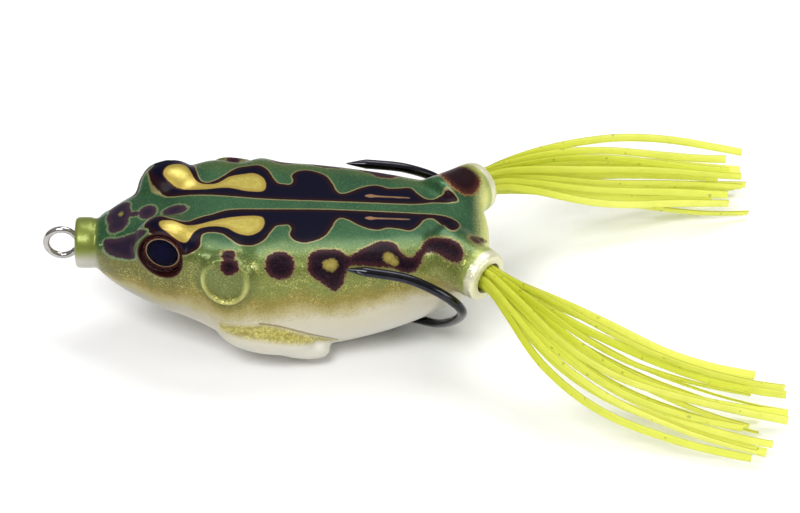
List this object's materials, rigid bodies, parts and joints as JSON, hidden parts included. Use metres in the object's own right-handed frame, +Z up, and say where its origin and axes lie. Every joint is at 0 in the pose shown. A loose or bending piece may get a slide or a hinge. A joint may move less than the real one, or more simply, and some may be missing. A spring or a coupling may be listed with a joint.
{
  "type": "topwater popper",
  "caption": "Hollow-body frog lure with a cupped nose, line-tie wire, upturned double hook and rubber-strand legs.",
  "frame": {"origin": "on the flat of the belly, in the middle plane, where the lure rests on a level surface", "axes": "+X from the nose to the tail, +Z up through the back, +Y to the frog's right"},
  "size_m": [0.1122, 0.0756, 0.0243],
  "materials": {
    "body_skin": "glossy painted soft plastic",
    "eye_foil": "printed foil",
    "eye_lens": "clear moulded dome",
    "bright_wire": "bright steel wire",
    "black_wire": "black nickel plate",
    "weight": "dull cast lead",
    "band": "matt rubber",
    "strand": "translucent chartreuse rubber"
  },
  "bodies": {
    "shell": {"body_shell": "body_skin", "left_eye_foil": "eye_foil", "left_eye_lens": "eye_lens", "right_eye_foil": "eye_foil", "right_eye_lens": "eye_lens"},
    "line_tie": {"line_tie_wire": "bright_wire"},
    "hook": {"double_hook": "black_wire", "keel_weight": "weight"},
    "left_leg": {"left_skirt_band": "band", "left_strand_01": "strand", "left_strand_02": "strand", "left_strand_03": "strand", "left_strand_04": "strand", "left_strand_05": "strand", "left_strand_06": "strand", "left_strand_07": "strand", "left_strand_08": "strand", "left_strand_09": "strand", "left_strand_10": "strand", "left_strand_11": "strand", "left_strand_12": "strand", "left_strand_13": "strand", "left_strand_14": "strand", "left_strand_15": "strand", "left_strand_16": "strand"},
    "right_leg": {"right_skirt_band": "band", "right_strand_01": "strand", "right_strand_02": "strand", "right_strand_03": "strand", "right_strand_04": "strand", "right_strand_05": "strand", "right_strand_06": "strand", "right_strand_07": "strand", "right_strand_08": "strand", "right_strand_09": "strand", "right_strand_10": "strand", "right_strand_11": "strand", "right_strand_12": "strand", "right_strand_13": "strand", "right_strand_14": "strand", "right_strand_15": "strand", "right_strand_16": "strand"}
  },
  "joints": [
    {"name": "rig_slide", "type": "slide", "parent": "shell", "child": "line_tie", "axis": [-1, 0, 0], "range_m": [0, 0.0015]},
    {"name": "hook_swing", "type": "hinge", "parent": "line_tie", "child": "hook", "pos_m": [-0.0185, 0, 0.0144], "axis": [0, 1, 0], "range_deg": [0, 6]},
    {"name": "left_leg_sweep", "type": "hinge", "parent": "shell", "child": "left_leg", "pos_m": [0.0291, -0.01091, 0.0169], "axis": [0, 0, 1], "range_deg": [-12, 12], "stiffness_Nm_per_rad": 0.005},
    {"name": "right_leg_sweep", "type": "hinge", "parent": "shell", "child": "right_leg", "pos_m": [0.02818, 0.01123, 0.0173], "axis": [0, 0, 1], "range_deg": [-12, 12], "stiffness_Nm_per_rad": 0.005}
  ]
}
